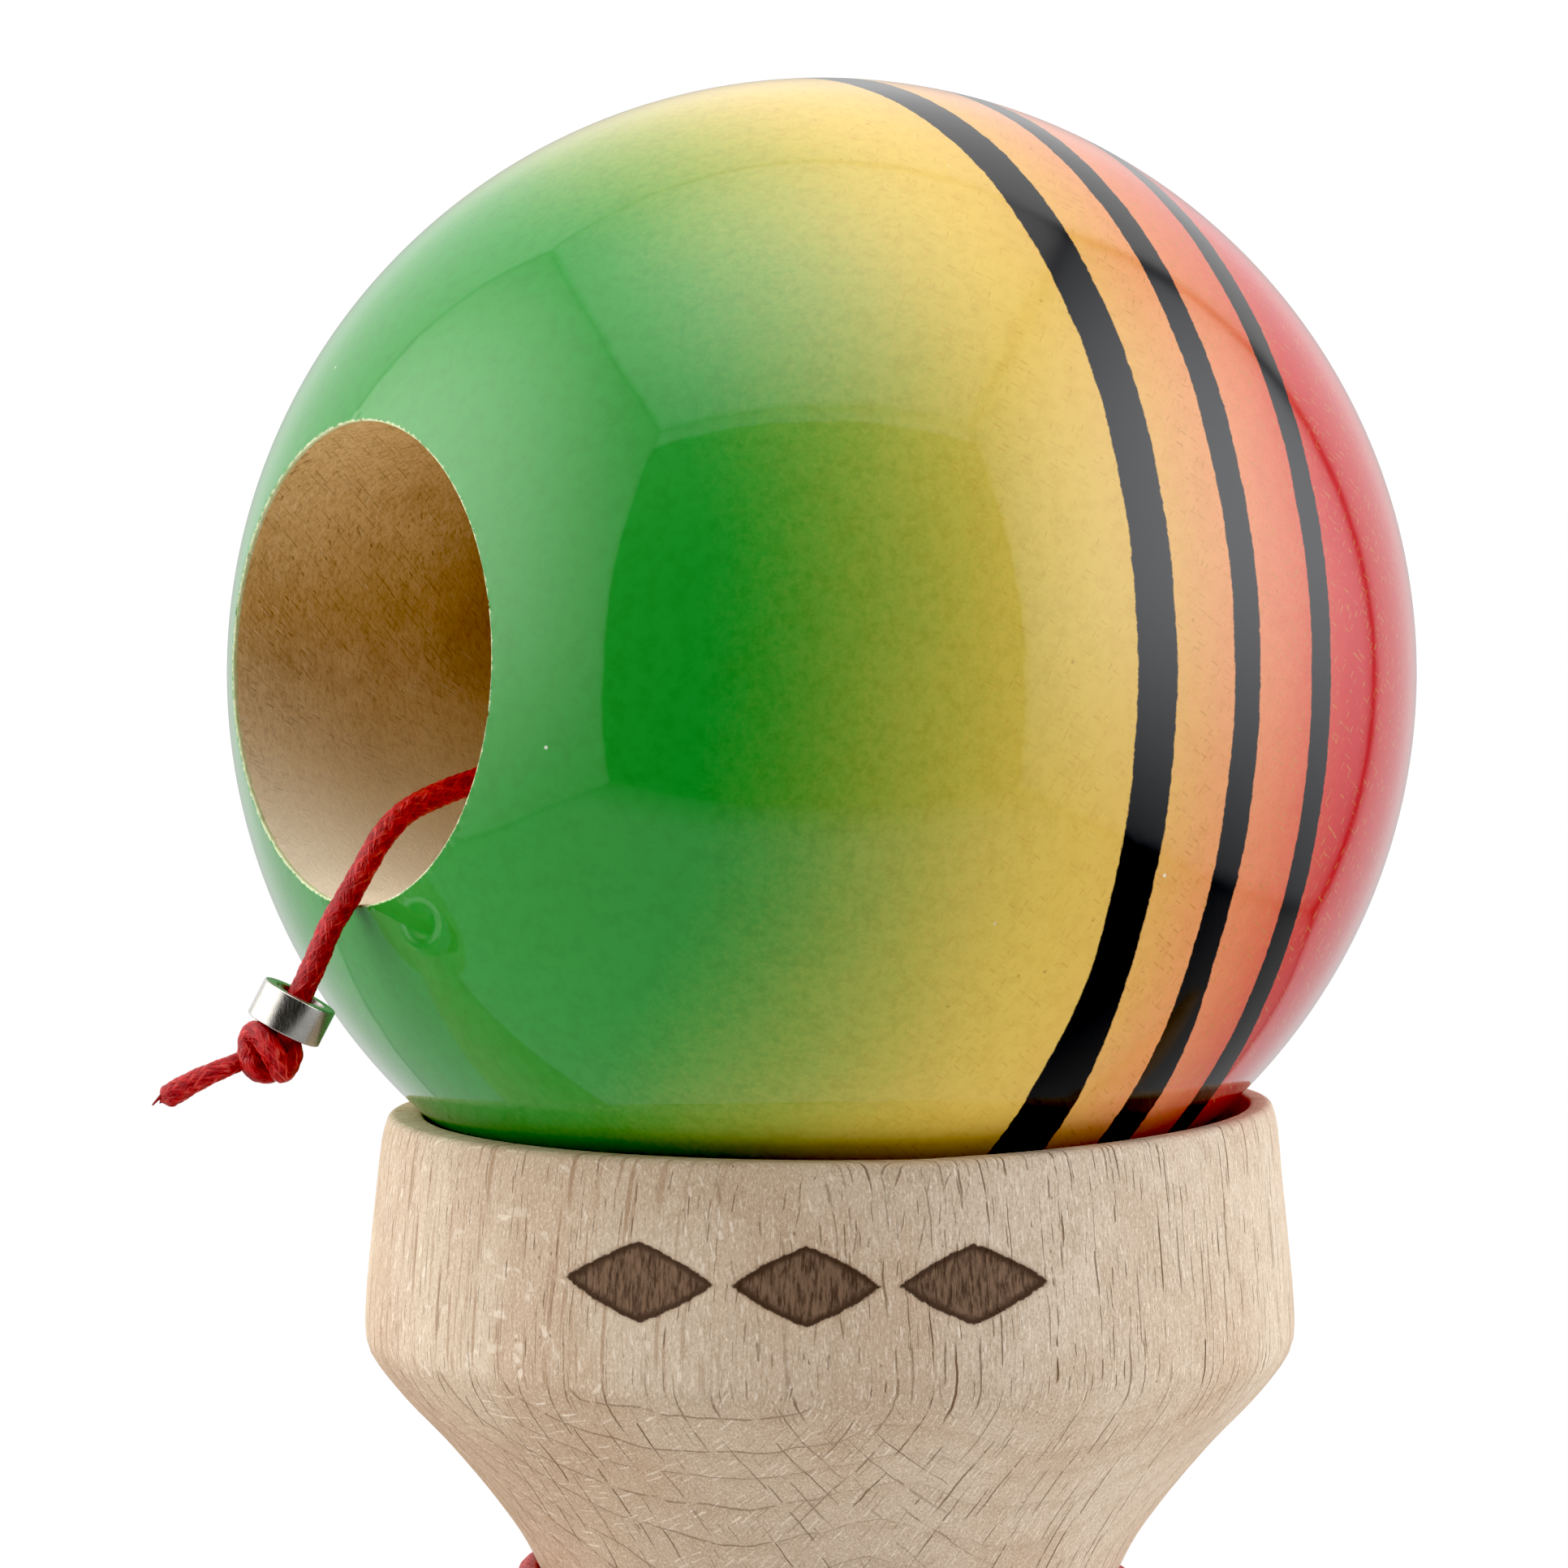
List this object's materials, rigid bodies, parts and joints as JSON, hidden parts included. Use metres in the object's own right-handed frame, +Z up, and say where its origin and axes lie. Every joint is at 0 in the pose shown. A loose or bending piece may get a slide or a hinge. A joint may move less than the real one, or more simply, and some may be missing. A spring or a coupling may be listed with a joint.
{
  "type": "kendama",
  "caption": "Wooden cup-and-ball toy: a turned handle with a spike and a two-cup cross piece, and a striped lacquered ball tethered by a waxed string with a metal ring bead.",
  "frame": {"origin": "on the surface the toy stands on, under the middle of the handle's length, midway across the ball", "axes": "+X along the handle from the base cup to the spike, +Z up along the cross piece towards the big cup, +Y to the back where the string leaves the cross piece"},
  "size_m": [0.168, 0.06, 0.1242],
  "materials": {
    "handle_beech": "raw sanded beech, fine pore flecks",
    "cup_beech": "raw sanded beech, fine pore flecks, burnt decoration",
    "ball_lacquer": "thick high-gloss lacquer over airbrushed colour with dark painted rings",
    "waxed_cord": "waxed braided cord",
    "bead_steel": "polished metal ring"
  },
  "bodies": {
    "handle": {"ken": "handle_beech", "sarado": "cup_beech", "ken_knot": "waxed_cord", "string_lead": "waxed_cord", "string_turns": "waxed_cord", "string_rise": "waxed_cord"},
    "string_end": {"string_end": "waxed_cord", "end_knot": "waxed_cord", "string_tail": "waxed_cord"},
    "tama": {"tama": "ball_lacquer"},
    "bead": {"bead": "bead_steel"}
  },
  "joints": [
    {"name": "tama_lift", "type": "slide", "parent": "handle", "child": "string_end", "axis": [0, 0, 1], "range_m": [0, 0.06], "deforming": ["string_rise"]},
    {"name": "tama_spin", "type": "hinge", "parent": "string_end", "child": "tama", "pos_m": [0.016, 0, 0.09423], "axis": [-0.8185, -0.5732, 0.0384], "continuous": true},
    {"name": "bead_slide", "type": "slide", "parent": "string_end", "child": "bead", "axis": [0.3946, 0.2862, 0.8732], "range_m": [0, 0.003]}
  ]
}
